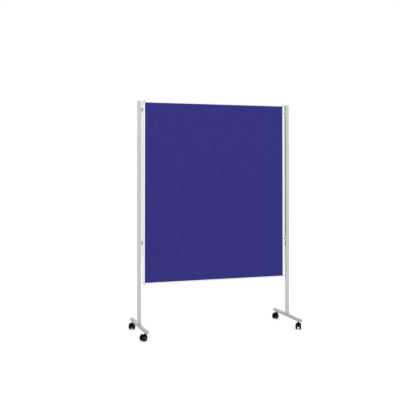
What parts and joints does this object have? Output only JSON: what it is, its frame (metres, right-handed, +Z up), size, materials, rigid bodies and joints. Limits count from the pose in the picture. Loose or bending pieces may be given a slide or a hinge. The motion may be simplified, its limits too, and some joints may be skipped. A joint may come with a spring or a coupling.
{
  "type": "mobile pinboard",
  "caption": "Free-standing mobile pinboard: a framed felt panel, double-sided and height-adjustable, held between two posts on T feet with swivel castors.",
  "frame": {"origin": "on the floor, midway between the two posts and between the front and rear castor stems", "axes": "+X across the board to the right as seen from the front, -Y out of the front face, +Z up"},
  "size_m": [1.3973, 0.5346, 1.901],
  "materials": {
    "felt": "short needled felt",
    "fibreboard": "soft fibreboard",
    "frame_aluminium": "pale satin anodised",
    "corner_plastic": "pale grey moulding",
    "stand_metal": "silver grey powder coat",
    "cap_plastic": "mid grey moulding",
    "bracket_plastic": "pale grey moulding",
    "slider_plastic": "dark nylon",
    "plug_plastic": "dark nylon",
    "black_screw": "black oxide",
    "steel": "zinc plated",
    "castor_black": "black nylon",
    "wheel_black": "black nylon, greyer hub"
  },
  "bodies": {
    "stand": {"bracket_screws": "steel", "castor_nuts": "steel", "clamp_nuts": "steel", "clamp_screws": "black_screw", "foot_bolts": "steel", "front_left_castor_stem": "steel", "front_right_castor_stem": "steel", "left_foot": "stand_metal", "left_foot_front_cap": "cap_plastic", "left_foot_rear_cap": "cap_plastic", "left_post": "stand_metal", "left_post_cap": "cap_plastic", "left_post_plug": "plug_plastic", "lower_left_bracket": "bracket_plastic", "lower_left_slider": "slider_plastic", "lower_right_bracket": "bracket_plastic", "lower_right_slider": "slider_plastic", "rear_left_castor_stem": "steel", "rear_right_castor_stem": "steel", "right_foot": "stand_metal", "right_foot_front_cap": "cap_plastic", "right_foot_rear_cap": "cap_plastic", "right_post": "stand_metal", "right_post_cap": "cap_plastic", "right_post_plug": "plug_plastic", "upper_left_bracket": "bracket_plastic", "upper_left_slider": "slider_plastic", "upper_right_bracket": "bracket_plastic", "upper_right_slider": "slider_plastic"},
    "panel": {"corner_lower_left": "corner_plastic", "corner_lower_right": "corner_plastic", "corner_upper_left": "corner_plastic", "corner_upper_right": "corner_plastic", "felt_front": "felt", "felt_rear": "felt", "frame_bottom_rail": "frame_aluminium", "frame_left_stile": "frame_aluminium", "frame_right_stile": "frame_aluminium", "frame_top_rail": "frame_aluminium", "pinboard_core": "fibreboard"},
    "front_left_castor": {"front_left_castor_hood": "castor_black", "front_left_castor_axle": "steel"},
    "front_left_wheel_a": {"front_left_wheel_a": "wheel_black"},
    "front_left_wheel_b": {"front_left_wheel_b": "wheel_black"},
    "front_left_brake": {"front_left_brake_pedal": "castor_black"},
    "rear_left_castor": {"rear_left_castor_hood": "castor_black", "rear_left_castor_axle": "steel"},
    "rear_left_wheel_a": {"rear_left_wheel_a": "wheel_black"},
    "rear_left_wheel_b": {"rear_left_wheel_b": "wheel_black"},
    "rear_right_castor": {"rear_right_castor_hood": "castor_black", "rear_right_castor_axle": "steel"},
    "rear_right_wheel_a": {"rear_right_wheel_a": "wheel_black"},
    "rear_right_wheel_b": {"rear_right_wheel_b": "wheel_black"},
    "front_right_castor": {"front_right_castor_hood": "castor_black", "front_right_castor_axle": "steel"},
    "front_right_wheel_a": {"front_right_wheel_a": "wheel_black"},
    "front_right_wheel_b": {"front_right_wheel_b": "wheel_black"},
    "front_right_brake": {"front_right_brake_pedal": "castor_black"}
  },
  "joints": [
    {"name": "panel_height", "type": "slide", "parent": "stand", "child": "panel", "axis": [0, 0, 1], "range_m": [0, 0.105]},
    {"name": "front_left_swivel", "type": "hinge", "parent": "stand", "child": "front_left_castor", "pos_m": [-0.66, -0.22, 0.056], "axis": [0, 0, 1], "continuous": true},
    {"name": "front_left_wheel_a_spin", "type": "hinge", "parent": "front_left_castor", "child": "front_left_wheel_a", "pos_m": [-0.67879, -0.22684, 0.025], "axis": [0.342, -0.9397, 0], "continuous": true},
    {"name": "front_left_wheel_b_spin", "type": "hinge", "parent": "front_left_castor", "child": "front_left_wheel_b", "pos_m": [-0.67879, -0.22684, 0.025], "axis": [0.342, -0.9397, 0], "continuous": true},
    {"name": "front_left_brake_release", "type": "hinge", "parent": "front_left_castor", "child": "front_left_brake", "pos_m": [-0.69118, -0.23135, 0.05328], "axis": [-0.342, 0.9397, 0], "range_deg": [0, 15]},
    {"name": "rear_left_swivel", "type": "hinge", "parent": "stand", "child": "rear_left_castor", "pos_m": [-0.66, 0.22, 0.056], "axis": [0, 0, 1], "continuous": true},
    {"name": "rear_left_wheel_a_spin", "type": "hinge", "parent": "rear_left_castor", "child": "rear_left_wheel_a", "pos_m": [-0.67118, 0.20342, 0.025], "axis": [0.829, -0.5592, 0], "continuous": true},
    {"name": "rear_left_wheel_b_spin", "type": "hinge", "parent": "rear_left_castor", "child": "rear_left_wheel_b", "pos_m": [-0.67118, 0.20342, 0.025], "axis": [0.829, -0.5592, 0], "continuous": true},
    {"name": "rear_right_swivel", "type": "hinge", "parent": "stand", "child": "rear_right_castor", "pos_m": [0.66, 0.22, 0.056], "axis": [0, 0, 1], "continuous": true},
    {"name": "rear_right_wheel_a_spin", "type": "hinge", "parent": "rear_right_castor", "child": "rear_right_wheel_a", "pos_m": [0.64424, 0.20769, 0.025], "axis": [0.6157, -0.788, 0], "continuous": true},
    {"name": "rear_right_wheel_b_spin", "type": "hinge", "parent": "rear_right_castor", "child": "rear_right_wheel_b", "pos_m": [0.64424, 0.20769, 0.025], "axis": [0.6157, -0.788, 0], "continuous": true},
    {"name": "front_right_swivel", "type": "hinge", "parent": "stand", "child": "front_right_castor", "pos_m": [0.66, -0.22, 0.056], "axis": [0, 0, 1], "continuous": true},
    {"name": "front_right_wheel_a_spin", "type": "hinge", "parent": "front_right_castor", "child": "front_right_wheel_a", "pos_m": [0.65092, -0.23782, 0.025], "axis": [0.891, -0.454, 0], "continuous": true},
    {"name": "front_right_wheel_b_spin", "type": "hinge", "parent": "front_right_castor", "child": "front_right_wheel_b", "pos_m": [0.65092, -0.23782, 0.025], "axis": [0.891, -0.454, 0], "continuous": true},
    {"name": "front_right_brake_release", "type": "hinge", "parent": "front_right_castor", "child": "front_right_brake", "pos_m": [0.64493, -0.24957, 0.05328], "axis": [-0.891, 0.454, 0], "range_deg": [0, 15]}
  ]
}
